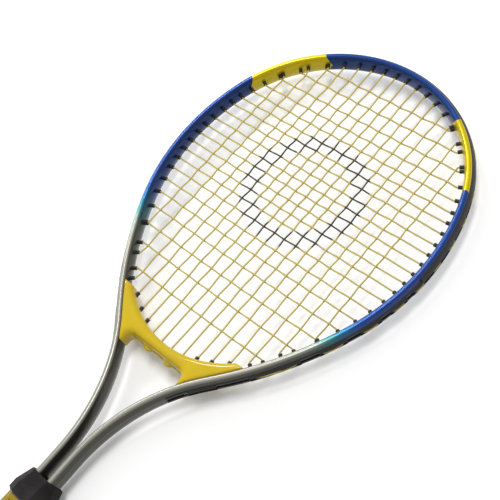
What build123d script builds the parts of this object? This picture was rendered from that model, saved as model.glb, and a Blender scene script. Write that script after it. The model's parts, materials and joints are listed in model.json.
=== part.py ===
"""Junior tennis racket: aluminium tube frame, moulded throat bridge, woven string bed, wrapped handle.

The racket lies flat. +X runs across the head, +Y runs from the handle to the tip, and +Z is the
normal of the string bed. The origin is under the middle of the racket's box. Sizes are millimetres.
"""
import os
from math import atan2, cos, radians, sin, sqrt

from build123d import *

# ---------------------------------------------------------------- driving dimensions
total_length = 635.0          # a 25 inch junior racket
bed_drop = 156.4              # tip of the head bumper to the bed centre
bed_y = total_length / 2 - bed_drop
mid_z = 17.5                  # height of the string bed, half the thickness of the butt cap

# Tube section: an oval of two nose arcs and two side arcs, with a groove for the guards round the head
tube_width = 8.0
tube_depth = 19.4
nose_radius = 2.7
tube_wall = 1.0
groove_half = 2.8
groove_floor = 2.0            # groove floor, measured outward from the tube's centreline

# Centreline of the tube, right half, from the tip: tangent arcs, a short straight, then the shaft
tip_y = 150.6
tip_arc = (128.0, 72.0)       # radius, angle
side_arc = (200.0, 42.0)
lower_arc = (344.0, 17.5)
throat_straight = 14.4
throat_radius = 164.0
throat_groove_angle = 11.0    # the groove runs this far into the throat bend
shaft_end_y = -462.0          # the tube stops inside the handle, above the butt

# String bed: gaps between neighbouring strings, from the centre outward and from the throat to the tip
string_radius = 0.74
centre_main = 5.6
main_gaps = [11.9, 11.7, 12.0, 12.6, 12.7, 14.4, 15.6]
first_cross = -137.0
cross_gaps = [21.3, 16.8, 16.4, 14.3, 13.1, 12.8, 11.1, 10.6, 10.4, 10.6, 10.0, 10.3, 11.3, 10.4,
              9.8, 11.0, 12.0, 13.2, 15.2, 15.6]
layer = 0.76                  # mains pass above the bed's mid plane and crosses below it

# Grommet barrels of the guards
barrel_radius = 1.7
barrel_bore = 0.95
barrel_tip = -7.8             # inner end of a barrel, from the tube's centreline
string_turn = -9.0            # where a string leaves the line of its barrel
channel_floor = 2.8           # string channel in the outside of the guards
channel_half = 1.65
loop_offset = 4.7             # string loops lie here in the channel
guard_clearance = 0.05
bumper_face = 5.8
strip_face = 6.0              # outer face of a side strip's humps, which guard the string loops
strip_low_face = 4.5          # and between the humps
hump_reach = 2.2              # a hump runs this far past the holes of its loop
bumper_end_y = -12.0          # the head bumper and the side strips meet here
hole_clearance = 0.08
guard_lip = 0.5               # thickness of a guard's skin at its edge
bumper_reach = 7.2            # half width of the bumper's skin
strip_reach = 4.6
guard_gap = 0.4
through_reach = 4.2           # barrels of the mains that go on into the bridge end here
string_bend = 0.9
cross_rise = 1.2              # the crosses' holes sit this much nearer to the tip than cross_gaps say
knot_radius = 1.1
knot_shift = 0.43             # knots sit this much outside their string's layer

# Throat bridge
bridge_depth = 17.6
bridge_sag_y = -173.0         # middle of the upper edge
bridge_arc = 91.6             # radius of the upper edge
bridge_tip_y = -151.0         # the bridge stops here against the tube
bridge_low_y = -183.2         # lower edge
leg_x = 31.5                  # inner face of a leg
leg_end_y = -196.0
leg_corner = 6.0
bridge_edge = 4.4             # rounding of the long edges
boss = (6.8, 16.4, 3.2)       # each boss beside a string loop: inner x, outer x, height
loop_y = -183.9               # string loops under the bridge
loop_channel = 1.3            # depth of their channel above the loop
loop_cut = 16.0               # the cut for it runs this far down, past the bosses
bore_length = 60.0            # bores through the bridge, from below its legs to above its upper edge
pin_radius = 1.2
pin_depth = 6.2               # inner end of a pin, from the tube's centreline
boss_half = 5.0
bridge_fit = 0.02
grommet_stand = 3.0
grommet_length = 9.0

# Handle
handle_top_y = -323.0         # upper end of the handle shells
butt_y = bed_drop - total_length
pallet = (30.0, 26.4, 8.0)    # width, depth and bevel of the handle shells
shaft_clearance = 0.1
wrap_thickness = 1.9
wrap_top_y = -330.0
collar_top_y = -311.0
collar_full_y = -326.0        # the collar's cone ends here
collar_low_y = -333.4
collar_mouth = (27.0, 25.0, 6.0)
collar_wall = 1.4
tape_length = 4.6
tape_thickness = 0.3
cap_length = 26.0
cap_floor = 4.0
cap_flare = 9.0               # full section from the butt to here
cap_round = 2.5
cap_end = (38.0, 2 * mid_z, 10.5)
screw_y = [-345.0, -395.0, -445.0]
screw_radius = 1.25
screw_tip = 10.0              # the screws end this far below mid plane
screw_head = (2.6, 1.6)       # radius and height of the head
screw_slot = (3.6, 0.7)       # length and width of each arm of the cross recess
plug_length = 14.0

os.makedirs("parts", exist_ok=True)


# ---------------------------------------------------------------- places
def at(x, y, z=0.0):
    """A point given from the centre of the string bed, in the part's frame."""
    return Vector(x, bed_y + y, mid_z + z)


def heading_vectors(angle):
    """Travel direction and outward direction for a heading in degrees (0 is +X)."""
    a = radians(angle)
    return Vector(cos(a), sin(a), 0), Vector(-sin(a), cos(a), 0)


def centreline_runs():
    """Runs of the tube's right half, tip first: dicts of start, heading, radius and angle or length."""
    bend = tip_arc[1] + side_arc[1] + lower_arc[1] - 90.0
    plan = [(tip_arc[0], -tip_arc[1], 0.0, True), (side_arc[0], -side_arc[1], 0.0, True),
            (lower_arc[0], -lower_arc[1], 0.0, True), (0.0, 0.0, throat_straight, True),
            (throat_radius, throat_groove_angle, 0.0, True),
            (throat_radius, bend - throat_groove_angle, 0.0, False)]
    runs = []
    point = Vector(0, tip_y, 0)
    heading = 0.0
    for radius, turn, length, grooved in plan:
        along, out = heading_vectors(heading)
        run = dict(start=point, heading=heading, radius=radius, turn=turn, length=length, grooved=grooved)
        if turn:
            run["centre"] = point + out * (radius if turn > 0 else -radius)
            run["length"] = radius * radians(abs(turn))
            arm = point - run["centre"]
            point = run["centre"] + arm.rotate(Axis.Z, turn)
        else:
            point = point + along * length
        runs.append(run)
        heading += turn
    runs.append(dict(start=point, heading=-90.0, radius=0.0, turn=0.0,
                     length=point.Y - shaft_end_y, grooved=False))
    return runs


runs = centreline_runs()
shaft_x = runs[-1]["start"].X


def rim(distance, offset=0.0):
    """Point and outward direction at a distance along the right half from the tip."""
    for run in runs:
        if distance <= run["length"] or run is runs[-1]:
            break
        distance -= run["length"]
    turned = run["turn"] * distance / run["length"]
    along, out = heading_vectors(run["heading"] + turned)
    if run["turn"]:
        arm = run["start"] - run["centre"]
        point = run["centre"] + arm.rotate(Axis.Z, turned)
    else:
        point = run["start"] + along * distance
    return point + out * offset, out


side_distance = runs[0]["length"] + radians(90 - tip_arc[1]) * side_arc[0]    # widest place of the head
hoop_end = sum(run["length"] for run in runs[:5])


def rim_where(test, low, high):
    """Distance along the rim where a rising test turns positive."""
    for _ in range(40):
        middle = (low + high) / 2
        if test(middle) > 0:
            high = middle
        else:
            low = middle
    return low


def rim_at_y(y, offset):
    return rim_where(lambda s: y - rim(s, offset)[0].Y, 0, hoop_end)


def rim_at_top_x(x, offset):
    return rim_where(lambda s: rim(s, offset)[0].X - x, 0, side_distance)


def rim_at_low_x(x, offset):
    return rim_where(lambda s: x - rim(s, offset)[0].X, side_distance, hoop_end)


# ---------------------------------------------------------------- string pattern
main_x = [centre_main]
for gap in main_gaps:
    main_x.append(main_x[-1] + gap)
cross_y = [first_cross]
for gap in cross_gaps:
    cross_y.append(cross_y[-1] + gap)

bridge_mains = main_x[:3]     # tied round the bridge
through_mains = main_x[3:5]   # pass the bridge and the tube
low_mains = main_x[5:]        # end in the tube

cross_holes = [rim_at_y(y + cross_rise, string_turn) for y in cross_y]
top_holes = [rim_at_top_x(x, string_turn) for x in main_x]
low_holes = [rim_at_low_x(x, string_turn) for x in low_mains]
square_holes = [(s, -layer) for s in cross_holes] + [(s, layer) for s in top_holes + low_holes]
flanged_mains = main_x[2:5]   # these have their own grommets in the bridge
tied_holes = [(low_holes[-1], layer), (cross_holes[-1], -layer), (cross_holes[0], -layer)]
tie_offset = channel_floor + guard_clearance
knot_offset = tie_offset + knot_radius
through_distances = [rim_at_low_x(x, 0.0) for x in through_mains]
low_loops = [(low_holes[0], low_holes[1]), tuple(through_distances)]
right_loops = [(cross_holes[row], cross_holes[row + 1]) for row in range(0, len(cross_y) - 1, 2)]
left_loops = [(cross_holes[row], cross_holes[row + 1]) for row in range(1, len(cross_y) - 1, 2)]

bumper_end = rim_at_y(bumper_end_y, 0.0)


# ---------------------------------------------------------------- shared shapes
nose_reach = tube_depth / 2 - nose_radius
side_arc_radius = (((tube_width / 2)**2 + nose_reach**2 - nose_radius**2)
                   / (tube_width - 2 * nose_radius))
side_arc_x = tube_width / 2 - side_arc_radius


def oval(inset=0.0, mode=Mode.ADD):
    """The tube's oval, inset by a wall or grown by a clearance."""
    spread = atan2(nose_reach, -side_arc_x)
    side, nose = side_arc_radius - inset, nose_radius - inset
    x, z = nose * cos(spread), nose_reach + nose * sin(spread)
    with BuildLine() as outline:
        ThreePointArc((x, -z), (side_arc_x + side, 0), (x, z))
        ThreePointArc((x, z), (0, nose_reach + nose), (-x, z))
        ThreePointArc((-x, z), (-side_arc_x - side, 0), (-x, -z))
        ThreePointArc((-x, -z), (0, -nose_reach - nose), (x, -z))
    make_face(outline.edges(), mode=mode)


def slot(floor, half, mode):
    """A slot open to the outside, from a floor outward."""
    with Locations((floor + tube_width / 2, 0)):
        Rectangle(tube_width, 2 * half, mode=mode)


def tube_section(plane, grooved, inset=0.0):
    """Section of the tube, or of its cavity when inset by the wall."""
    with BuildSketch(plane) as section:
        oval(inset)
        if grooved:
            slot(groove_floor - inset, groove_half + inset, Mode.SUBTRACT)
    return section.sketch


def guard_section(plane, face, reach):
    """Section of a guard: a skin over the tube's outer wall and a web in the groove."""
    edge_x = side_arc_x + sqrt(side_arc_radius**2 - reach**2) + guard_lip
    web = groove_floor + guard_clearance
    with BuildSketch(plane) as section:
        with BuildLine() as skin:
            ThreePointArc((edge_x, -reach), (face, 0), (edge_x, reach))
            Polyline((edge_x, reach), (0, reach), (0, -reach), (edge_x, -reach))
        make_face(skin.edges())
        oval(-guard_clearance, Mode.SUBTRACT)
        with Locations(((web + tube_width / 2 + guard_lip) / 2, 0)):
            Rectangle(tube_width / 2 + guard_lip - web, 2 * (groove_half - guard_clearance))
    return section.sketch


def channel_section(plane):
    with BuildSketch(plane) as section:
        slot(channel_floor, channel_half, Mode.ADD)
    return section.sketch


def run_plane(distance):
    """Section plane at a distance along the rim: local x is outward, local y is up."""
    point, out = rim(distance)
    return Plane(origin=at(point.X, point.Y), x_dir=out, z_dir=out.rotate(Axis.Z, -90))


def carry(section, start, end, mode=Mode.ADD):
    """Carry a section, given as a function of its plane, along the centreline."""
    passed = 0.0
    for run in runs:
        low, high = max(start, passed), min(end, passed + run["length"])
        passed += run["length"]
        if high - low < 0.01:
            continue
        sketch = section(run_plane(low))
        if run["turn"]:
            turn = run["turn"] * (high - low) / run["length"]
            axis = Axis(at(run["centre"].X, run["centre"].Y), (0, 0, 1 if turn > 0 else -1))
            revolve(sketch, axis=axis, revolution_arc=abs(turn), mode=mode)
        else:
            extrude(sketch, amount=high - low, mode=mode)


def rods(planes, length, radius, mode=Mode.ADD):
    """Round bars of one length, each from its plane's origin along its normal."""
    with Locations(*planes):
        Cylinder(radius, length, align=(Align.CENTER, Align.CENTER, Align.MIN), mode=mode)


def square_planes(holes, outer):
    """Planes square to the tube, at an offset outside its centreline, facing inward."""
    planes = []
    for distance, z in holes:
        point, out = rim(distance, outer)
        planes.append(Plane(origin=at(point.X, point.Y, z), x_dir=(0, 0, 1), z_dir=-out))
    return planes


def square_rods(holes, outer, inner, radius, mode=Mode.ADD):
    """Bars square to the tube, between two offsets from its centreline."""
    rods(square_planes(holes, outer), outer - inner, radius, mode)


def upright_rods(distances, outer, inner, radius, mode=Mode.ADD):
    """Bars along Y through the tube, between two offsets from its centreline."""
    for distance in distances:
        point, out = rim(distance)
        start = at(point.X, point.Y - outer / -out.Y, layer)
        rods([Plane(origin=start, x_dir=(0, 0, 1), z_dir=(0, 1, 0))], (outer - inner) / -out.Y, radius, mode)


def straight_rods(places, length, radius, mode=Mode.ADD):
    """Bars along Y from places given as (x, y, z)."""
    rods([Plane(origin=at(*place), x_dir=(0, 0, 1), z_dir=(0, 1, 0)) for place in places], length, radius, mode)


def knot_place(hole, side=1):
    """Centre of the knot over a tied hole."""
    distance, z = hole
    point = rim(distance, knot_offset)[0]
    return at(side * point.X, point.Y, z + (knot_shift if z > 0 else -knot_shift))


def octagon_sketch(plane, size, grow=0.0):
    """Handle octagon: wide faces up and down, four bevels, grown on every side."""
    width, depth, bevel = size
    x, z = width / 2 + grow, depth / 2 + grow
    cut = bevel + grow * (2 - sqrt(2))
    with BuildSketch(plane) as section:
        Polygon((x, z - cut), (x - cut, z), (cut - x, z), (-x, z - cut),
                (-x, cut - z), (cut - x, -z), (x - cut, -z), (x, cut - z), align=None)
    return section.sketch


def handle_plane(y):
    """Cross plane of the handle, facing the tip: local x across, local y up."""
    return Plane(origin=at(0, y), x_dir=(-1, 0, 0), z_dir=(0, 1, 0))


def octagon_tube(low_y, high_y, size, inner, outer):
    """A straight octagonal sleeve between two growths of one octagon."""
    extrude(octagon_sketch(handle_plane(low_y), size, outer), amount=high_y - low_y)
    extrude(octagon_sketch(handle_plane(low_y), size, inner), amount=high_y - low_y, mode=Mode.SUBTRACT)


def save(part, name):
    part.label = name
    export_step(part, f"parts/{name}.step")


# ---------------------------------------------------------------- frame tube
shaft_distance = sum(run["length"] for run in runs)
cavity_delay = 2.0            # the full cavity starts beyond the groove's end wall
hole_radius = barrel_radius + hole_clearance
pin_distance = (through_distances[-1] + low_holes[0]) / 2

with BuildPart() as frame_tube:
    carry(lambda plane: tube_section(plane, True), 0.0, hoop_end)
    carry(lambda plane: tube_section(plane, False), hoop_end, shaft_distance)
    cavity_change = hoop_end + cavity_delay
    carry(lambda plane: tube_section(plane, True, tube_wall), 0.0, cavity_change, Mode.SUBTRACT)
    carry(lambda plane: tube_section(plane, False, tube_wall), cavity_change, shaft_distance,
          Mode.SUBTRACT)
    square_rods(square_holes, tube_width, -tube_width, hole_radius, Mode.SUBTRACT)
    upright_rods(through_distances, tube_width, -tube_width, hole_radius, Mode.SUBTRACT)
    square_rods([(pin_distance, 0)], tube_width, -tube_width, pin_radius, Mode.SUBTRACT)
    mirror(about=Plane.YZ)
save(frame_tube.part, "frame_tube")


# ---------------------------------------------------------------- guards round the head
def guard(start, end, face, reach):
    """Right half of a guard with its grommet barrels, bores and string channel."""
    carry(lambda plane: guard_section(plane, face, reach), start, end)
    carry(channel_section, start, end, Mode.SUBTRACT)
    own = [hole for hole in square_holes if start < hole[0] < end]
    through = [distance for distance in through_distances if start < distance < end]
    web_middle = (groove_floor + guard_clearance + channel_floor) / 2
    square_rods(own, web_middle, barrel_tip, barrel_radius)
    upright_rods(through, web_middle, -through_reach, barrel_radius)
    square_rods(own, tube_width, -tube_width, barrel_bore, Mode.SUBTRACT)
    upright_rods(through, tube_width, -tube_width, barrel_bore, Mode.SUBTRACT)
    pockets = [knot_place(hole) for hole in tied_holes if start < hole[0] < end]
    with Locations(*pockets):
        Sphere(knot_radius + guard_clearance, mode=Mode.SUBTRACT)


with BuildPart() as head_bumper:
    guard(0.0, bumper_end, bumper_face, bumper_reach)
    mirror(about=Plane.YZ)
save(head_bumper.part, "head_bumper")

def low_face_section(plane):
    """What is cut from a side strip between its humps."""
    with BuildSketch(plane) as section:
        slot(strip_low_face, tube_width, Mode.ADD)
    return section.sketch


def side_strip(loops):
    """Right half's side strip, with a hump over each string loop and a low face between them."""
    strip_start, strip_end = bumper_end + guard_gap, hoop_end - guard_gap
    guard(strip_start, strip_end, strip_face, strip_reach)
    humps = sorted((min(pair) - hump_reach, max(pair) + hump_reach) for pair in loops)
    low_start = strip_start
    for hump_start, hump_end in humps:
        if hump_end > strip_start:
            carry(low_face_section, low_start, hump_start, Mode.SUBTRACT)
            low_start = hump_end
    carry(low_face_section, low_start, strip_end, Mode.SUBTRACT)


with BuildPart() as side_strip_right:
    side_strip(right_loops + low_loops)
save(side_strip_right.part, "side_strip_right")

with BuildPart() as side_strip_left:
    side_strip(left_loops + low_loops)
    mirror(about=Plane.YZ, mode=Mode.REPLACE)
save(side_strip_left.part, "side_strip_left")


# ---------------------------------------------------------------- throat bridge
def bridge_top_y(x):
    """Upper edge of the bridge."""
    return bridge_sag_y + bridge_arc - sqrt(bridge_arc**2 - x**2)


bridge_tip_x = sqrt(bridge_arc**2 - (bridge_sag_y + bridge_arc - bridge_tip_y)**2)
bridge_reach = 75.0           # the blank runs into the tube and is cut back to it
leg_width = 4.0

with BuildPart() as throat_bridge:
    with BuildSketch(Plane(origin=at(0, 0, -bridge_depth / 2))):
        with BuildLine():
            half = (bridge_tip_x / 2, bridge_top_y(bridge_tip_x / 2))
            ThreePointArc((0, bridge_sag_y), half, (bridge_tip_x, bridge_tip_y))
            Polyline((bridge_tip_x, bridge_tip_y), (bridge_reach, bridge_tip_y), (leg_x + leg_width, leg_end_y),
                     (leg_x, leg_end_y), (leg_x, bridge_low_y), (0, bridge_low_y), (0, bridge_sag_y))
        make_face()
        corner = vertices().sort_by_distance((leg_x, bridge_low_y, 0))[0]
        fillet(corner, leg_corner)
        mirror(about=Plane.YZ)
    extrude(amount=bridge_depth)
    long_edges = faces().filter_by(Axis.Z).edges().filter_by(lambda edge: edge.length > 2 * leg_x)
    fillet(long_edges, bridge_edge)
    for side in (1, -1):
        with BuildSketch(Plane(origin=at(0, 0, -boss_half))):
            with BuildLine():
                ThreePointArc((side * boss[0], bridge_low_y), (side * (boss[0] + boss[1]) / 2,
                              bridge_low_y - boss[2]), (side * boss[1], bridge_low_y))
                Polyline((side * boss[1], bridge_low_y), (side * boss[1], bridge_low_y + boss[2]),
                         (side * boss[0], bridge_low_y + boss[2]), (side * boss[0], bridge_low_y))
            make_face()
        extrude(amount=2 * boss_half)
    carry(lambda plane: tube_section(plane, False, -bridge_fit), side_distance, shaft_distance,
          Mode.SUBTRACT)
    split(bisect_by=Plane.YZ, keep=Keep.TOP)
    straight_rods([(x, leg_end_y, layer) for x in main_x[:2]], bore_length, barrel_bore, Mode.SUBTRACT)
    straight_rods([(x, leg_end_y, layer) for x in flanged_mains], bore_length, hole_radius, Mode.SUBTRACT)
    for low, high in ((0, bridge_mains[0]), (bridge_mains[1], bridge_mains[2])):
        with Locations(at((low + high) / 2, loop_y + loop_channel, layer)):
            Box(high - low + 2 * loop_channel, loop_cut, 2 * loop_channel,
                align=(Align.CENTER, Align.MAX, Align.CENTER), mode=Mode.SUBTRACT)
    square_rods([(pin_distance, 0)], tube_width, -pin_depth, pin_radius, Mode.SUBTRACT)
    mirror(about=Plane.YZ)
save(throat_bridge.part, "throat_bridge")

with BuildPart() as bridge_pins:
    square_rods([(pin_distance, 0)], groove_floor, -pin_depth, pin_radius)
    mirror(about=Plane.YZ)
save(bridge_pins.part, "bridge_pins")

with BuildPart() as bridge_grommets:
    places = [(x, bridge_top_y(x) + grommet_stand - grommet_length, layer) for x in flanged_mains]
    straight_rods(places, grommet_length, barrel_radius)
    straight_rods(places, grommet_length, barrel_bore, Mode.SUBTRACT)
    mirror(about=Plane.YZ)
save(bridge_grommets.part, "bridge_grommets")


# ---------------------------------------------------------------- strings
def hole_points(distance, order):
    """Where a string leaves a barrel's line and where it reaches the outer channel."""
    inner = rim(distance, string_turn)[0]
    outer = rim(distance, loop_offset)[0]
    return [inner, outer] if order == "out" else [outer, inner]


def low_points(index, order):
    """Lower end of a main: under the bridge, through bridge and tube, or through the tube."""
    x = main_x[index]
    if x in bridge_mains:
        return [Vector(x, loop_y, 0)]
    if x in through_mains:
        return [rim(rim_at_low_x(x, loop_offset), loop_offset)[0]]
    return hole_points(low_holes[index - len(bridge_mains) - len(through_mains)], order)


def string_sweep(points, z):
    """A string through its points, with tight bends at the channel and easy ones inside."""
    path_points = [at(point.X, point.Y, z) for point in points]
    with BuildLine() as path:
        FilletPolyline(*path_points, radius=string_bend)
    with BuildSketch(Plane(origin=path.line @ 0, z_dir=path.line % 0)) as wire:
        Circle(string_radius)
    sweep(wire.sketch, path=path.line)


last = len(main_x) - 1
right_mains = [rim(low_holes[-1], tie_offset)[0], rim(low_holes[-1], string_turn)[0]]
upward = True
for index in range(last, -1, -1):
    top = hole_points(top_holes[index], "out" if upward else "in")
    low = low_points(index, "in" if upward else "out")
    if index == last:
        right_mains += top
    else:
        right_mains += low + top if upward else top + low
    upward = not upward
left_mains = [Vector(-point.X, point.Y, 0) for point in reversed(right_mains)]

with BuildPart() as main_strings:
    string_sweep(right_mains + left_mains, layer)
save(main_strings.part, "main_strings")

cross_path = []
side = -1
for distance in reversed(cross_holes):
    near = [Vector(-side * point.X, point.Y, 0) for point in hole_points(distance, "in")]
    far = [Vector(side * point.X, point.Y, 0) for point in hole_points(distance, "out")]
    cross_path += near + far
    side = -side
first_tie = rim(cross_holes[-1], tie_offset)[0]
last_tie = rim(cross_holes[0], tie_offset)[0]
cross_path[0] = Vector(first_tie.X, first_tie.Y, 0)
cross_path[-1] = Vector(-side * last_tie.X, last_tie.Y, 0)

with BuildPart() as cross_strings:
    string_sweep(cross_path, -layer)
save(cross_strings.part, "cross_strings")

main_tie, first_cross_tie, last_cross_tie = tied_holes
with BuildPart() as string_knots:
    with Locations(knot_place(main_tie), knot_place(main_tie, -1),
                   knot_place(first_cross_tie), knot_place(last_cross_tie, -side)):
        Sphere(knot_radius)
save(string_knots.part, "string_knots")


# ---------------------------------------------------------------- handle
with BuildPart() as tube_plugs:
    for x in (shaft_x, -shaft_x):
        plane = Plane(origin=at(x, shaft_end_y), x_dir=(-1, 0, 0), z_dir=(0, 1, 0))
        with BuildSketch(plane) as section:
            oval(tube_wall + guard_clearance)
        extrude(section.sketch, amount=plug_length)
save(tube_plugs.part, "tube_plugs")


def handle_shell(keep):
    """One half of the handle, hollowed for the two legs of the tube."""
    low_y = butt_y + cap_floor
    extrude(octagon_sketch(handle_plane(low_y), pallet), amount=handle_top_y - low_y)
    for x in (shaft_x, -shaft_x):
        plane = Plane(origin=at(x, shaft_end_y - shaft_clearance), x_dir=(-1, 0, 0), z_dir=(0, 1, 0))
        with BuildSketch(plane) as section:
            oval(-shaft_clearance)
        extrude(section.sketch, amount=handle_top_y - shaft_end_y + 1, mode=Mode.SUBTRACT)
    split(bisect_by=Plane.XY.offset(mid_z), keep=keep)


with BuildPart() as handle_shell_front:
    handle_shell(Keep.TOP)
    for y in screw_y:
        rods([Plane(at(0, y, -1))], pallet[1], screw_radius, Mode.SUBTRACT)
        rods([Plane(at(0, y, pallet[1] / 2 - screw_head[1]))], screw_head[1], screw_head[0], Mode.SUBTRACT)
save(handle_shell_front.part, "handle_shell_front")

with BuildPart() as handle_shell_back:
    handle_shell(Keep.BOTTOM)
    for y in screw_y:
        rods([Plane(at(0, y, -screw_tip))], pallet[1], screw_radius, Mode.SUBTRACT)
save(handle_shell_back.part, "handle_shell_back")

with BuildPart() as handle_screws:
    for y in screw_y:
        top = pallet[1] / 2
        rods([Plane(at(0, y, -screw_tip))], top + screw_tip - screw_head[1], screw_radius)
        rods([Plane(at(0, y, top - screw_head[1]))], screw_head[1], screw_head[0])
        with Locations(at(0, y, top)):
            Box(screw_slot[0], screw_slot[1], screw_head[1], mode=Mode.SUBTRACT)
            Box(screw_slot[1], screw_slot[0], screw_head[1], mode=Mode.SUBTRACT)
save(handle_screws.part, "handle_screws")

cap_top_y = butt_y + cap_length
with BuildPart() as butt_cap:
    low = octagon_sketch(handle_plane(butt_y), cap_end)
    flare = octagon_sketch(handle_plane(butt_y + cap_flare), cap_end)
    high = octagon_sketch(handle_plane(cap_top_y), pallet, wrap_thickness)
    extrude(low, amount=cap_flare)
    loft([flare, high])
    fillet(faces().sort_by(Axis.Y)[0].edges(), cap_round)
    pocket = handle_plane(butt_y + cap_floor)
    extrude(octagon_sketch(pocket, pallet, guard_clearance), amount=cap_length, mode=Mode.SUBTRACT)
save(butt_cap.part, "butt_cap")

with BuildPart() as grip_wrap:
    octagon_tube(cap_top_y, wrap_top_y, pallet, guard_clearance, wrap_thickness)
save(grip_wrap.part, "grip_wrap")

tape_inner = wrap_thickness + guard_clearance
with BuildPart() as finishing_tape:
    octagon_tube(wrap_top_y - tape_length, wrap_top_y, pallet, tape_inner, tape_inner + tape_thickness)
save(finishing_tape.part, "finishing_tape")

collar_inner = tape_inner + tape_thickness + guard_clearance
with BuildPart() as rubber_collar:
    for wall, mode in ((collar_wall, Mode.ADD), (0.0, Mode.SUBTRACT)):
        reach = 1.0 if mode is Mode.SUBTRACT else 0.0
        extrude(octagon_sketch(handle_plane(collar_low_y - reach), pallet, collar_inner + wall),
                amount=collar_full_y - collar_low_y + reach, mode=mode)
        loft([octagon_sketch(handle_plane(collar_full_y), pallet, collar_inner + wall),
              octagon_sketch(handle_plane(collar_top_y), collar_mouth, wall - collar_wall)], mode=mode)
save(rubber_collar.part, "rubber_collar")

print("shaft x", round(shaft_x, 2), "hoop end", rim(hoop_end)[0], "bumper end", rim(bumper_end)[0])
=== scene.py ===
"""Looks for the junior tennis racket: lacquered tube, moulded bridge, woven strings, wrapped grip.

Everything is in metres in the CAD frame: +X across the head, +Y to the tip, +Z out of the string bed.
"""
import json
import math

import bmesh
import bpy
from mathutils import Matrix, Vector


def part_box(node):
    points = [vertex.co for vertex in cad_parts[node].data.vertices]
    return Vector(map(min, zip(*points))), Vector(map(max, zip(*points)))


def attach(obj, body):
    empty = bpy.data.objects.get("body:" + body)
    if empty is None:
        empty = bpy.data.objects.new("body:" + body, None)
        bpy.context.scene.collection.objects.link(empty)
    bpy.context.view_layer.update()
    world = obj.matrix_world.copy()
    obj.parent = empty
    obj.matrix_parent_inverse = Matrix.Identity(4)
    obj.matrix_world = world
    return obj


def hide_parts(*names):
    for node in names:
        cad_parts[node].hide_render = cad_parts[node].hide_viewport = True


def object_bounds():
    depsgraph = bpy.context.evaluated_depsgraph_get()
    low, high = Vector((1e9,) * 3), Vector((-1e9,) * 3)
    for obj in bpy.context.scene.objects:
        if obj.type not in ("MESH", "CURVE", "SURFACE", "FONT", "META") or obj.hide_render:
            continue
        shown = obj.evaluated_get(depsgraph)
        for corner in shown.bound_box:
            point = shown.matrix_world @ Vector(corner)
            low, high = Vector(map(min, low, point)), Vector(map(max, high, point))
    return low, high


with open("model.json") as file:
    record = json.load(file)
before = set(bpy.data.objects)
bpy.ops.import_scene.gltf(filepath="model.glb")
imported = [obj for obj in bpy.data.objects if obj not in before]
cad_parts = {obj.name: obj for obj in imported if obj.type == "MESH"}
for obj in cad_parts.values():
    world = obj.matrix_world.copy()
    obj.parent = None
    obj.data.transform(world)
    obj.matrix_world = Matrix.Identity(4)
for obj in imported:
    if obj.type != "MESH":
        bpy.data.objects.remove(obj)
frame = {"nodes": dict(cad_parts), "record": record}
cad_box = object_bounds()
nodes = frame["nodes"]

MM = 0.001

# ---------------------------------------------------------------- dimensions, shared with the CAD design
tube_width = 8.0 * MM
tube_depth = 19.4 * MM
nose_radius = 2.7 * MM
groove_floor = 2.0 * MM
groove_half = 2.8 * MM
tip_arc = (128.0 * MM, 72.0)                   # radius, angle
side_arc = (200.0 * MM, 42.0)
lower_arc = (344.0 * MM, 17.5)
throat_straight = 14.4 * MM
throat_radius = 164.0 * MM
throat_groove_angle = 11.0
string_radius = 0.74 * MM
cross_rise = 1.2 * MM                          # how much nearer to the tip a cross's holes are
centre_main = 5.6                              # the string pattern is in millimetres from the bed's centre
main_gaps = [11.9, 11.7, 12.0, 12.6, 12.7, 14.4, 15.6]
first_cross = -137.0
cross_gaps = [21.3, 16.8, 16.4, 14.3, 13.1, 12.8, 11.1, 10.6, 10.4, 10.6, 10.0, 10.3, 11.3, 10.4,
              9.8, 11.0, 12.0, 13.2, 15.2, 15.6]
string_turn = -9.0 * MM                        # where a string leaves the line of its barrel
loop_y = -183.9 * MM                           # string loops under the bridge
bridge_depth = 17.6 * MM
bridge_sag_y = -173.0 * MM                     # middle of the upper edge
bridge_arc = 91.6 * MM                         # radius of the upper edge
bridge_tip_y = -151.0 * MM
bridge_low_y = -183.2 * MM
leg_x = 31.5 * MM                              # inner face of a leg
leg_corner = 6.0 * MM
pallet = (30.0 * MM, 26.4 * MM, 8.0 * MM)      # width, depth and bevel of the handle
wrap_thickness = 1.9 * MM
wrap_top_y = -330.0 * MM

mid_z = (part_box("frame_tube")[0][2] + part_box("frame_tube")[1][2]) / 2
tip_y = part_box("frame_tube")[1][1] - tube_width / 2     # centreline at the tip, in the CAD frame
bed_y = tip_y - 150.6 * MM                     # middle of the string bed
shaft_end_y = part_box("frame_tube")[0][1]


def at(x, y, z=0.0):
    """A point given from the bed's centre."""
    return Vector((x, bed_y + y, mid_z + z))


# ---------------------------------------------------------------- centreline of the tube
def turned(vector, degrees):
    a = math.radians(degrees)
    return Vector((vector.x * math.cos(a) - vector.y * math.sin(a),
                   vector.x * math.sin(a) + vector.y * math.cos(a)))


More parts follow.
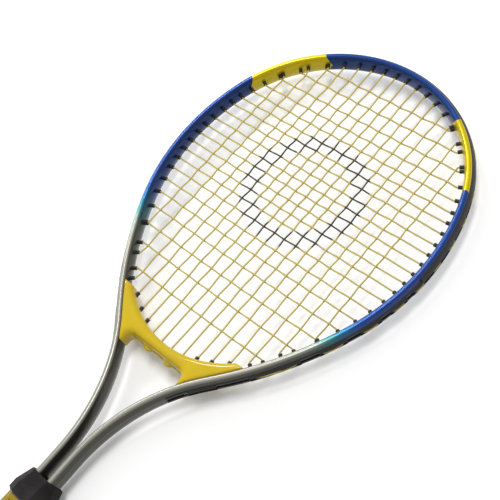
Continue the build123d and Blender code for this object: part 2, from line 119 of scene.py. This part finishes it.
def centreline_runs():
    """Right half of the centreline, tip first, as tangent arcs and straights."""
    bend = tip_arc[1] + side_arc[1] + lower_arc[1] - 90.0
    plan = [(tip_arc[0], -tip_arc[1], 0.0), (side_arc[0], -side_arc[1], 0.0),
            (lower_arc[0], -lower_arc[1], 0.0), (0.0, 0.0, throat_straight),
            (throat_radius, throat_groove_angle, 0.0), (throat_radius, bend - throat_groove_angle, 0.0)]
    point, heading, runs = Vector((0.0, tip_y - bed_y)), 0.0, []
    for radius, turn, length in plan:
        along = turned(Vector((1, 0)), heading)
        out = turned(along, 90)
        run = dict(start=point, heading=heading, turn=turn, length=length, centre=None)
        if turn:
            run["centre"] = point + out * (radius if turn > 0 else -radius)
            run["length"] = radius * math.radians(abs(turn))
            point = run["centre"] + turned(point - run["centre"], turn)
        else:
            point = point + along * length
        runs.append(run)
        heading += turn
    length = bed_y + point.y - shaft_end_y
    runs.append(dict(start=point, heading=-90.0, turn=0.0, length=length, centre=None))
    return runs


runs = centreline_runs()
half_length = sum(run["length"] for run in runs)
hoop_end = sum(run["length"] for run in runs[:5])
side_distance = runs[0]["length"] + math.radians(90 - tip_arc[1]) * side_arc[0]


def rim(distance, offset=0.0):
    """Point and outward direction on the right half, at a distance from the tip."""
    for run in runs:
        if distance <= run["length"] or run is runs[-1]:
            break
        distance -= run["length"]
    angle = run["turn"] * distance / run["length"]
    along = turned(Vector((1, 0)), run["heading"] + angle)
    out = turned(along, 90)
    if run["centre"] is not None:
        point = run["centre"] + turned(run["start"] - run["centre"], angle)
    else:
        point = run["start"] + along * distance
    return point + out * offset, out


def rim_where(test, low, high):
    """Distance along the rim where a rising test turns positive."""
    for _ in range(40):
        middle = (low + high) / 2
        if test(middle) > 0:
            high = middle
        else:
            low = middle
    return low


# ---------------------------------------------------------------- string pattern
main_x = [centre_main * MM]
for gap in main_gaps:
    main_x.append(main_x[-1] + gap * MM)
cross_y = [first_cross * MM]
for gap in cross_gaps:
    cross_y.append(cross_y[-1] + gap * MM)


def rim_at_low_x(x, offset):
    return rim_where(lambda s: x - rim(s, offset)[0].x, side_distance, hoop_end)


cross_holes = [rim_where(lambda s: y + cross_rise - rim(s, string_turn)[0].y, 0, hoop_end)
               for y in cross_y]
top_holes = [rim_where(lambda s: rim(s, string_turn)[0].x - x, 0, side_distance) for x in main_x]
low_holes = [rim_at_low_x(x, string_turn) for x in main_x]


# ---------------------------------------------------------------- material tools
class Look:
    """A node material: nodes are added by name and linked in order."""

    def __init__(self, name):
        self.material = bpy.data.materials.new(name)
        self.material.use_nodes = True
        self.tree = self.material.node_tree
        self.shader = self.tree.nodes["Principled BSDF"]
        self.place = self.tree.nodes.new("ShaderNodeTexCoord").outputs["Object"]

    def set(self, **values):
        for name, value in values.items():
            self.shader.inputs[name.replace("_", " ")].default_value = value

    def node(self, kind, inputs=(), **settings):
        node = self.tree.nodes.new("ShaderNode" + kind)
        for name, value in settings.items():
            setattr(node, name, value)
        for name, value in dict(inputs).items():
            self.feed(node.inputs[name], value)
        return node

    def feed(self, socket, value):
        if isinstance(value, bpy.types.NodeSocket):
            self.tree.links.new(value, socket)
        else:
            socket.default_value = value

    def math(self, operation, a, b=0.0, c=0.0, clamp=False):
        node = self.node("Math", operation=operation, use_clamp=clamp)
        for socket, value in zip(node.inputs, (a, b, c)):
            self.feed(socket, value)
        return node.outputs[0]

    def noise(self, scale, detail=4.0):
        node = self.node("TexNoise", {"Scale": scale, "Detail": detail, "Vector": self.place})
        return node.outputs["Fac"]

    def between(self, value, low, high, a=0.0, b=1.0):
        inputs = {"Value": value, "From Min": low, "From Max": high, "To Min": a, "To Max": b}
        return self.node("MapRange", inputs).outputs["Result"]

    def ramp(self, value, stops):
        node = self.node("ValToRGB", {"Fac": value})
        elements = node.color_ramp.elements
        while len(elements) < len(stops):
            elements.new(0.5)
        for element, (position, colour) in zip(elements, stops):
            element.position = position
            element.color = (*colour, 1.0)
        return node.outputs["Color"]

    def mix(self, factor, a, b):
        node = self.node("Mix", data_type="RGBA")
        self.feed(node.inputs[0], factor)
        for socket, value in ((node.inputs[6], a), (node.inputs[7], b)):
            self.feed(socket, value if isinstance(value, bpy.types.NodeSocket) else (*value, 1.0))
        return node.outputs[2]

    def axes(self):
        node = self.node("SeparateXYZ", {"Vector": self.place})
        return node.outputs[0], node.outputs[1], node.outputs[2]

    def bump(self, height, strength, distance, normal=None):
        inputs = {"Height": height, "Strength": strength, "Distance": distance}
        if normal is not None:
            inputs["Normal"] = normal
        return self.node("Bump", inputs).outputs[0]

    def length(self, a, b):
        """The square root of a * a + b * b."""
        squares = self.math("ADD", self.math("MULTIPLY", a, a), self.math("MULTIPLY", b, b))
        return self.math("SQRT", squares)

    def finish(self, colour, rough, normal=None):
        self.feed(self.shader.inputs["Base Color"], colour)
        self.feed(self.shader.inputs["Roughness"], rough)
        if normal is not None:
            self.feed(self.shader.inputs["Normal"], normal)
        return self.material


# ---------------------------------------------------------------- materials
fade = (-130.0 * MM, -50.0 * MM)               # silver turns to blue between these places
# the nose colours are the lacquer lightened with painted light; the wall colours below are the same lacquer
# darkened with painted shade
painted_light_nose_colours = [(0.0, (0.30, 0.29, 0.25)), (0.3, (0.26, 0.29, 0.25)), (0.44, (0.05, 0.22, 0.22)),
                (0.58, (0.002, 0.13, 0.27)), (0.75, (0.003, 0.055, 0.24)), (1.0, (0.004, 0.04, 0.20))]
painted_shade_wall_colours = [(0.0, (0.040, 0.039, 0.030)), (0.3, (0.036, 0.047, 0.038)), (0.44, (0.008, 0.07, 0.08)),
                (0.58, (0.001, 0.05, 0.12)), (0.75, (0.001, 0.024, 0.13)), (1.0, (0.001, 0.019, 0.11))]
patch_angles = (32.3, 69.6)                    # shoulder patches, in degrees round the tip arc
patch_slants = (2.2, -2.7)                     # their ends lean this many degrees from mid plane to nose
patch_edge = 0.12                              # half the blur at their ends, in degrees
pore_gap = 6.0 * MM                            # gap between rows of pricked holes in the grip
pores_around = 14.0 / 6.0                      # holes for each radian round the handle
pore_slant = 0.61                              # rows climbed for each radian
ring_y = 4.0 * MM                              # the stencilled ring's middle, radius and half width
ring_radius = 50.0 * MM
ring_half = (7.6 * MM, 8.5 * MM)


def frame_paint_and_shading():
    """Lacquer: silver arms, teal then blue head, yellow shoulder patches; painted shade darkens the walls
    and painted light brightens the noses.
    """
    look = Look("frame_paint_and_shading")
    x, y, z = look.axes()
    place = look.between(look.math("SUBTRACT", y, bed_y), *fade)
    height = look.math("DIVIDE", look.math("ABSOLUTE", look.math("SUBTRACT", z, mid_z)), tube_depth / 2)
    lit_nose_paint = look.ramp(place, painted_light_nose_colours)
    shaded_wall_paint = look.ramp(place, painted_shade_wall_colours)
    # painted shade on the walls gives way to painted light on the noses, by height off mid plane
    base = look.mix(look.between(height, 0.8, 1.0), shaded_wall_paint, lit_nose_paint)
    from_centre = look.math("SUBTRACT", y, tip_y - tip_arc[0])
    round_tip = look.math("ARCTAN2", look.math("ABSOLUTE", x), from_centre)
    angle = look.math("MULTIPLY", round_tip, 180 / math.pi)
    start = look.math("MULTIPLY_ADD", height, patch_slants[0], patch_angles[0])
    end = look.math("MULTIPLY_ADD", height, patch_slants[1], patch_angles[1])
    after_start = look.between(look.math("SUBTRACT", angle, start), -patch_edge, patch_edge)
    before_end = look.between(look.math("SUBTRACT", end, angle), -patch_edge, patch_edge)
    inside = look.math("MULTIPLY", after_start, before_end, clamp=True)
    flake = look.between(look.noise(2600.0, 2.0), 0.45, 0.75, 0.0, 0.02)
    base = look.mix(flake, base, (0.5, 0.52, 0.52))
    # the yellow patches also get painted shade on the walls and painted light on the noses
    lit_and_shaded_patch = look.mix(look.between(height, 0.4, 0.95), (0.44, 0.34, 0.001), (0.50, 0.385, 0.001))
    colour = look.mix(inside, base, lit_and_shaded_patch)
    rough = look.between(look.noise(60.0, 5.0), 0.3, 0.7, 0.26, 0.34)
    peel = look.bump(look.noise(160.0, 1.0), 0.02, 0.1 * MM)
    look.set(Metallic=0.5, Specular_IOR_Level=0.1, Coat_Weight=0.35, Coat_Roughness=0.07)
    return look.finish(colour, rough, peel)


def moulded(name, colour, light, rough, grain, strength, coat=0.0, shine=0.5):
    """Moulded plastic or rubber with a fine grain and faint cloudiness."""
    look = Look(name)
    cloud = look.noise(55.0, 4.0)
    paint = look.mix(look.between(cloud, 0.3, 0.7), colour, light)
    roughness = look.between(look.noise(140.0, 4.0), 0.3, 0.7, rough - 0.05, rough + 0.07)
    look.set(Coat_Weight=coat, Coat_Roughness=0.08, Specular_IOR_Level=shine)
    return look.finish(paint, roughness, look.bump(look.noise(grain, 3.0), strength, 0.2 * MM))


def grip_leather():
    """Mustard synthetic leather with pricked holes, darker where hands have polished it."""
    look = Look("grip_leather")
    x, y, z = look.axes()
    angle = look.math("ARCTAN2", look.math("SUBTRACT", z, mid_z), x)
    around = look.math("MULTIPLY", angle, pores_around)
    upward = look.math("ADD", look.math("DIVIDE", y, pore_gap), look.math("MULTIPLY", angle, pore_slant))
    row = look.math("FRACT", look.math("ADD", upward, 40.0))
    column = look.math("FRACT", look.math("ADD", around, 40.0))
    near = look.math("ADD", look.math("POWER", look.math("SUBTRACT", row, 0.5), 2.0),
                     look.math("POWER", look.math("SUBTRACT", column, 0.5), 2.0))
    hole = look.between(near, 0.014, 0.006)
    wear = look.between(look.noise(28.0, 5.0), 0.35, 0.7)
    leather = look.mix(wear, (0.19, 0.13, 0.001), (0.24, 0.165, 0.003))
    speck = look.between(look.noise(900.0, 3.0), 0.55, 0.8, 0.0, 0.35)
    leather = look.mix(speck, leather, (0.14, 0.095, 0.004))
    colour = look.mix(hole, leather, (0.03, 0.02, 0.005))
    grain = look.bump(look.noise(800.0, 4.0), 0.35, 0.2 * MM)
    pricked = look.bump(hole, -0.6, 0.3 * MM, grain)
    look.set(Specular_IOR_Level=0.15)
    return look.finish(colour, look.between(wear, 0.0, 1.0, 0.62, 0.48), pricked)


def string_nylon():
    """Gold nylon with a plain black stencilled ring."""
    look = Look("string_nylon")
    x, y, z = look.axes()
    radius = look.length(x, look.math("SUBTRACT", y, bed_y + ring_y))
    edge = look.math("ADD", radius, look.math("MULTIPLY", look.noise(500.0), 1.5 * MM))
    band = look.math("ABSOLUTE", look.math("SUBTRACT", edge, ring_radius))
    ink = look.between(band, ring_half[1], ring_half[0])
    ink = look.math("MULTIPLY", ink, look.between(look.noise(900.0, 3.0), 0.28, 0.42), clamp=True)
    gold = look.mix(look.noise(70.0), (0.33, 0.265, 0.05), (0.42, 0.34, 0.075))
    colour = look.mix(ink, gold, (0.005, 0.005, 0.005))
    look.set(Specular_IOR_Level=0.35)
    return look.finish(colour, look.between(look.noise(300.0), 0.3, 0.7, 0.32, 0.46))


materials = {
    "frame": frame_paint_and_shading(),
    "bridge": moulded("bridge_plastic", (0.42, 0.295, 0.0), (0.46, 0.325, 0.0), 0.3, 60.0, 0.01, 0.8, 0.05),
    "black_plastic": moulded("guard_nylon", (0.006, 0.006, 0.006), (0.014, 0.014, 0.013), 0.5, 1400.0, 0.2,
                             shine=0.3),
    "steel": moulded("plated_steel", (0.45, 0.45, 0.47), (0.55, 0.55, 0.56), 0.3, 900.0, 0.1),
    "string": string_nylon(),
    "shell": moulded("shell_plastic", (0.03, 0.03, 0.03), (0.05, 0.05, 0.05), 0.5, 900.0, 0.2),
    "cap": moulded("cap_plastic", (0.012, 0.012, 0.013), (0.025, 0.025, 0.027), 0.45, 1100.0, 0.3),
    "grip": grip_leather(),
    "tape": moulded("tape_vinyl", (0.02, 0.02, 0.02), (0.04, 0.04, 0.04), 0.35, 600.0, 0.2),
    "collar": moulded("collar_rubber", (0.010, 0.009, 0.009), (0.022, 0.020, 0.020), 0.6, 300.0, 0.35,
                      shine=0.06),
}
slots = {entry["node"]: entry["material_slot"] for entry in frame["record"]["subparts"]}
for name, node in nodes.items():
    node.data.materials.clear()
    node.data.materials.append(materials[slots[name]])


# ---------------------------------------------------------------- mesh tools
def piece(name, mesh, slot_name, replaced):
    """A new piece of the object, riding on the one body, in place of a CAD node."""
    thing = bpy.data.objects.new(name, mesh)
    bpy.context.collection.objects.link(thing)
    mesh.materials.append(materials[slot_name])
    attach(thing, "root")
    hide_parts(replaced)


def skin(mesh, rings):
    """Join rings of vertices into a closed skin."""
    around = len(rings[0])
    for low, high in zip(rings, rings[1:]):
        for k in range(around):
            after = (k + 1) % around
            mesh.faces.new((low[k], low[after], high[after], high[k]))
    mesh.faces.new(rings[0])
    mesh.faces.new(rings[-1])


def smooth_data(name, mesh):
    """Mesh data with its faces outward and smooth, from a bmesh that is then freed."""
    bmesh.ops.recalc_face_normals(mesh, faces=mesh.faces)
    data = bpy.data.meshes.new(name)
    mesh.to_mesh(data)
    mesh.free()
    for polygon in data.polygons:
        polygon.use_smooth = True
    return data


def tube_mesh(name, path, radius, sides=10):
    """A round tube along a list of points, with a steady twist."""
    mesh = bmesh.new()
    up = Vector((0, 0, 1))
    rings = []
    for index, point in enumerate(path):
        before, after = path[max(index - 1, 0)], path[min(index + 1, len(path) - 1)]
        along = (after - before).normalized()
        across = along.cross(up)
        across = across.normalized() if across.length > 1e-6 else Vector((1, 0, 0))
        lift = across.cross(along)
        ring = []
        for k in range(sides):
            a = 2 * math.pi * k / sides
            ring.append(mesh.verts.new(point + (across * math.cos(a) + lift * math.sin(a)) * radius))
        rings.append(ring)
    skin(mesh, rings)
    return smooth_data(name, mesh)


def finished(thing, *settings):
    """The mesh of a scratch object after its modifiers, each given as (type, values)."""
    bpy.context.collection.objects.link(thing)
    for kind, values in settings:
        modifier = thing.modifiers.new(kind, kind)
        for name, value in values.items():
            setattr(modifier, name, value)
    bpy.context.view_layer.update()
    result = bpy.data.meshes.new_from_object(thing.evaluated_get(bpy.context.evaluated_depsgraph_get()))
    bpy.data.objects.remove(thing)
    for polygon in result.polygons:
        polygon.use_smooth = True
    return result


# ---------------------------------------------------------------- frame tube
station_gap = 2.5 * MM                         # between sections along the tube


def oval_arc(centre, radius, start, end, steps):
    points = []
    for step in range(steps + 1):
        a = math.radians(start + (end - start) * step / steps)
        points.append((centre[0] + radius * math.cos(a), centre[1] + radius * math.sin(a)))
    return points


def tube_ring(grooved):
    """Section of the tube as (outward, up) pairs, with the same number of points with and without groove."""
    reach = tube_depth / 2 - nose_radius
    side_radius = ((tube_width / 2)**2 + reach**2 - nose_radius**2) / (tube_width - 2 * nose_radius)
    side_x = tube_width / 2 - side_radius
    spread = math.degrees(math.atan2(reach, -side_x))
    lip = math.degrees(math.asin(groove_half / side_radius))
    outer_low = oval_arc((side_x, 0), side_radius, -spread, -lip, 5)
    outer_high = oval_arc((side_x, 0), side_radius, lip, spread, 5)
    floor_x = groove_floor if grooved else outer_high[0][0]
    groove = [(floor_x, -groove_half), (floor_x, groove_half)]
    top = oval_arc((0, reach), nose_radius, spread, 180 - spread, 18)[1:]
    inner = oval_arc((-side_x, 0), side_radius, 180 - spread, 180 + spread, 14)[1:]
    bottom = oval_arc((0, -reach), nose_radius, 180 + spread, 360 - spread, 18)[1:-1]
    return outer_low + groove + outer_high + top + inner + bottom


def frame_mesh():
    """The bent tube in one smooth sweep, from one end in the handle round the head to the other."""
    mesh = bmesh.new()
    steps = int(half_length / station_gap)
    stations = [(1, half_length * step / steps) for step in range(steps, -1, -1)]
    stations += [(-1, half_length * step / steps) for step in range(1, steps + 1)]
    sections = {True: tube_ring(True), False: tube_ring(False)}
    rings = []
    for side, distance in stations:
        ring = []
        for outward, up in sections[distance < hoop_end]:
            point = rim(distance, outward)[0]
            ring.append(mesh.verts.new(at(side * point.x, point.y, up)))
        rings.append(ring)
    skin(mesh, rings)
    data = smooth_data("lacquered_tube", mesh)
    data.set_sharp_from_angle(angle=math.radians(40))
    return data


piece("lacquered_tube", frame_mesh(), "frame", "frame_tube")


# ---------------------------------------------------------------- throat bridge
leg_end_y = -194.0 * MM
bridge_sunk = -2.4 * MM                        # the moulding's edge is hidden inside the tube
bridge_swell = 0.7 * MM                        # extra half depth, taken back by the rounding
boss = (11.6 * MM, 5.4 * MM, 3.6 * MM, 5.5 * MM)     # place across, half length, height and half depth
crown_reach = 6.5 * MM                         # the bridge is rounded off this far in from its edges
crown_drop = 0.5                               # and loses this share of its depth at the edge


def bridge_outline():
    """Right half of the bridge from the front: upper edge from the middle, tube, leg, lower edge."""
    points = []
    tip_x = math.sqrt(bridge_arc**2 - (bridge_sag_y + bridge_arc - bridge_tip_y)**2)
    for step in range(25):
        x = tip_x * step / 24
        points.append(Vector((x, bridge_sag_y + bridge_arc - math.sqrt(bridge_arc**2 - x * x))))
    first = rim_where(lambda s: bridge_tip_y - rim(s, bridge_sunk)[0].y, side_distance, half_length)
    last = rim_where(lambda s: leg_end_y - rim(s, bridge_sunk)[0].y, side_distance, half_length)
    for step in range(17):
        points.append(rim(first + (last - first) * step / 16, bridge_sunk)[0])
    points.append(Vector((leg_x + 1 * MM, leg_end_y)))
    points.append(Vector((leg_x, leg_end_y + 2 * MM)))
    for step in range(9):
        a = math.radians(90 * step / 8)
        points.append(Vector((leg_x - leg_corner + leg_corner * math.cos(a),
                              bridge_low_y - leg_corner + leg_corner * math.sin(a))))
    return points


def bridge_crown(x, y):
    """Share of the full depth at a place, less towards the edges."""
    from_top = math.hypot(x, y - bridge_sag_y - bridge_arc) - bridge_arc
    corner = Vector((leg_x - leg_corner, bridge_low_y - leg_corner))
    if x < corner.x:
        from_low = y - bridge_low_y
    elif y < corner.y:
        from_low = x - leg_x
    else:
        from_low = math.hypot(x - corner.x, y - corner.y) - leg_corner
    inward = max(min(from_top, from_low, y - leg_end_y + 2 * MM), 0.0)
    fall = 1 - min(inward / crown_reach, 1.0)
    return 1 - crown_drop * (1 - math.sqrt(1 - fall * fall))


def bridge_mesh():
    """A thick moulding with bosses under it, rounded all over."""
    mesh = bmesh.new()
    half = bridge_outline()
    outline = half + [Vector((-point.x, point.y)) for point in reversed(half[1:])]
    half_depth = bridge_depth / 2 + bridge_swell
    low = [mesh.verts.new(at(point.x, point.y, -half_depth)) for point in outline]
    high = [mesh.verts.new(at(point.x, point.y, half_depth)) for point in outline]
    skin(mesh, [low, high])
    for side in (1, -1):
        size = Matrix.Diagonal((boss[1], boss[2], boss[3], 1))
        place = Matrix.Translation(at(side * boss[0], bridge_low_y)) @ size
        bmesh.ops.create_uvsphere(mesh, u_segments=32, v_segments=16, radius=1.0, matrix=place)
    blank = bpy.data.objects.new("bridge_blank", smooth_data("bridge_blank", mesh))
    rough = finished(blank, ("REMESH", dict(mode="VOXEL", voxel_size=0.8 * MM)),
                     ("SMOOTH", dict(factor=0.5, iterations=8)))
    for vertex in rough.vertices:
        height = vertex.co.z - mid_z
        vertex.co.z = mid_z + height * bridge_crown(abs(vertex.co.x), vertex.co.y - bed_y)
    crowned = bpy.data.objects.new("bridge_crowned", rough)
    return finished(crowned, ("SMOOTH", dict(factor=0.5, iterations=25)))


piece("bridge_moulding", bridge_mesh(), "bridge", "throat_bridge")


# ---------------------------------------------------------------- grip wrap
wrap_low_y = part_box("grip_wrap")[0][1] - bed_y
wrap_pitch = 23.0 * MM                         # one turn of the strip
wrap_step = 0.55 * MM                          # height of its overlap
wrap_round = 3.0 * MM                          # softening of the handle's corners
wrap_seam = 0.05                               # share of a turn over which the strip steps up
seam_dip = 0.25 * MM                           # depth of the crease beside the step


def octagon_radius(angle, grow):
    """Distance from the handle's axis to its eight flats, softened at the corners."""
    width, depth, bevel = pallet
    flats = [(width / 2 + grow, 0.0), (depth / 2 + grow, 90.0)]
    slope = (width / 2 + depth / 2 - bevel) / math.sqrt(2) + grow
    flats += [(slope, 45.0), (slope, 135.0), (depth / 2 + grow, 270.0), (width / 2 + grow, 180.0),
              (slope, 225.0), (slope, 315.0)]
    near = []
    for distance, facing in flats:
        lean = math.cos(math.radians(angle - facing))
        if lean > 0.3:
            near.append(distance / lean)
    hardness = 3.0 / wrap_round
    smallest = min(near)
    return smallest - math.log(sum(math.exp(-hardness * (reach - smallest)) for reach in near)) / hardness


def wrap_mesh():
    """A leather strip wound up the handle, each turn lying over the edge of the one below."""
    mesh = bmesh.new()
    around, rows = 120, 250
    rings = []
    for row in range(rows + 1):
        y = wrap_low_y + (wrap_top_y - wrap_low_y) * row / rows
        ring = []
        for k in range(around):
            angle = 360.0 * k / around
            turn = (y - wrap_low_y) / wrap_pitch + angle / 360.0
            part = turn - math.floor(turn)
            falling = wrap_step * (1 - part)
            rising = wrap_step * (1 - wrap_seam) * part / wrap_seam
            lift = falling if part > wrap_seam else rising
            dip = seam_dip * math.exp(-((part - 0.1) / 0.03)**2)
            reach = octagon_radius(angle, wrap_thickness - 0.35 * MM + lift - dip)
            a = math.radians(angle)
            ring.append(mesh.verts.new(at(reach * math.cos(a), y, reach * math.sin(a))))
        rings.append(ring)
    skin(mesh, rings)
    data = smooth_data("wound_grip", mesh)
    for polygon in data.polygons:
        polygon.use_smooth = len(polygon.vertices) == 4     # the ends stay flat
    return data


piece("wound_grip", wrap_mesh(), "grip", "grip_wrap")


# ---------------------------------------------------------------- woven strings
layer = 0.76 * MM                              # mains leave their barrels above mid plane, crosses below
weave = 0.745 * MM                             # height of a string off mid plane at a crossing
weave_steps = 6
channel_rest = 3.6 * MM                        # string loops leave the floor of the guards' channel here
loop_bulge = 1.9 * MM                          # and stand out this much more between their holes
loop_limit = cad_box[1][0] - string_radius - 0.05 * MM     # but no wider than the CAD design
mains = len(main_x)


def leg(start, end, crossings, bow=0.0):
    """From one hole to another, over and under the strings met on the way, as (share, height) pairs."""
    stations = [(0.0, start.z - mid_z)] + crossings + [(1.0, end.z - mid_z)]
    path = []
    for (near, low), (far, high) in zip(stations, stations[1:]):
        for step in range(weave_steps):
            part = step / weave_steps
            share = near + (far - near) * part
            place = start.lerp(end, share)
            place.y -= bow * (1 - (2 * share - 1)**2)
            place.z = mid_z + low + (high - low) * (1 - math.cos(math.pi * part)) / 2
            path.append(place)
    return path


def loop(first, second, side, z):
    """Outside the tube, along the channel from one hole to the next."""
    steps = 10
    path = []
    for step in range(steps + 1):
        part = step / steps
        stand = channel_rest + loop_bulge * math.sin(math.pi * part)**0.6
        point = rim(first + (second - first) * part, stand)[0]
        path.append(at(side * min(point.x, loop_limit), point.y, z))
    return path


def hole_end(distance, side, z):
    point = rim(distance, string_turn)[0]
    return at(side * point.x, point.y, z)


def main_crossings(index, side, start, end):
    """Where a main meets the crosses: the share of its way, and its height there."""
    column = mains + index if side > 0 else mains - 1 - index
    found = []
    for row, y in enumerate(cross_y):
        share = (bed_y + y - start.y) / (end.y - start.y)
        if 0.01 < share < 0.99:
            found.append((share, weave if (column + row) % 2 else -weave))
    return sorted(found)


def main_half(side):
    """One half's mains, from the tied outer one to the middle, up and down in turn."""
    last = mains - 1
    tie = rim(low_holes[last], channel_rest)[0]
    path = [at(side * tie.x, tie.y, layer)]
    for index in range(last, -1, -1):
        top = hole_end(top_holes[index], side, layer)
        if index < 3:
            low = at(side * main_x[index], loop_y, layer)
        elif index < 5:
            point = rim(rim_at_low_x(main_x[index], channel_rest), channel_rest)[0]
            low = at(side * point.x, point.y, layer)
        else:
            low = hole_end(low_holes[index], side, layer)
        upward = (last - index) % 2 == 0
        start, end = (low, top) if upward else (top, low)
        path += leg(start, end, main_crossings(index, side, start, end))
        path.append(end)
        if upward and index:
            path += loop(top_holes[index], top_holes[index - 1], side, layer)
        elif not upward and index > 5:
            path += loop(low_holes[index], low_holes[index - 1], side, layer)
    return path


def cross_crossings(row, start, end):
    found = []
    for column in range(2 * mains):
        x = main_x[column - mains] if column >= mains else -main_x[mains - 1 - column]
        share = (x - start.x) / (end.x - start.x)
        if 0.01 < share < 0.99:
            found.append((share, -weave if (column + row) % 2 else weave))
    return sorted(found)


def cross_route():
    side = -1
    tie = rim(cross_holes[-1], channel_rest)[0]
    path = [at(-side * tie.x, tie.y, -layer)]
    for row in range(len(cross_y) - 1, -1, -1):
        start = hole_end(cross_holes[row], -side, -layer)
        end = hole_end(cross_holes[row], side, -layer)
        path += leg(start, end, cross_crossings(row, start, end), cross_rise)
        path.append(end)
        if row:
            path += loop(cross_holes[row], cross_holes[row - 1], side, -layer)
        side = -side
    tie = rim(cross_holes[0], channel_rest)[0]
    path.append(at(-side * tie.x, tie.y, -layer))
    return path


right = main_half(1)
left = main_half(-1)
piece("woven_mains", tube_mesh("woven_mains", right + left[::-1], string_radius), "string", "main_strings")
piece("woven_crosses", tube_mesh("woven_crosses", cross_route(), string_radius), "string", "cross_strings")


# ---------------------------------------------------------------- floor, light and camera
def floor():
    mesh = bmesh.new()
    bmesh.ops.create_grid(mesh, x_segments=1, y_segments=1, size=6.0)
    data = bpy.data.meshes.new("floor")
    mesh.to_mesh(data)
    mesh.free()
    thing = bpy.data.objects.new("floor", data)
    bpy.context.collection.objects.link(thing)
    paint = bpy.data.materials.new("floor_paper")
    paint.use_nodes = True
    shader = paint.node_tree.nodes["Principled BSDF"]
    shader.inputs["Base Color"].default_value = (0.86, 0.86, 0.86, 1.0)
    shader.inputs["Roughness"].default_value = 0.9
    data.materials.append(paint)


def softbox(name, place, size, power, target=Vector((0, 0, 0))):
    data = bpy.data.lights.new(name, "AREA")
    data.shape = "RECTANGLE"
    data.size, data.size_y = size
    data.energy = power
    thing = bpy.data.objects.new(name, data)
    thing.location = place
    thing.rotation_euler = (target - Vector(place)).to_track_quat("-Z", "Y").to_euler()
    bpy.context.collection.objects.link(thing)


floor()
softbox("key", (-1.5, 0.6, 1.1), (1.3, 0.22), 22.0)
softbox("overhead", (-0.2, 0.5, 2.2), (0.5, 1.2), 30.0)
world = bpy.data.worlds.new("studio")
world.use_nodes = True
world.node_tree.nodes["Background"].inputs["Color"].default_value = (1.0, 1.0, 1.0, 1.0)
world.node_tree.nodes["Background"].inputs["Strength"].default_value = 0.72
bpy.context.scene.world = world
bpy.context.scene.view_settings.view_transform = "Standard"

camera_place = at(352.6 * MM, -246.8 * MM, 620.5 * MM)
camera_target = at(-0.9 * MM, -66.7 * MM)
camera_roll = -25.26
lens = bpy.data.cameras.new("camera")
lens.lens = 62.9
camera = bpy.data.objects.new("camera", lens)
facing = (camera_target - camera_place).to_track_quat("-Z", "Y").to_matrix().to_4x4()
roll = Matrix.Rotation(math.radians(camera_roll), 4, "Z")
camera.matrix_world = Matrix.Translation(camera_place) @ facing @ roll
bpy.context.collection.objects.link(camera)
bpy.context.scene.camera = camera
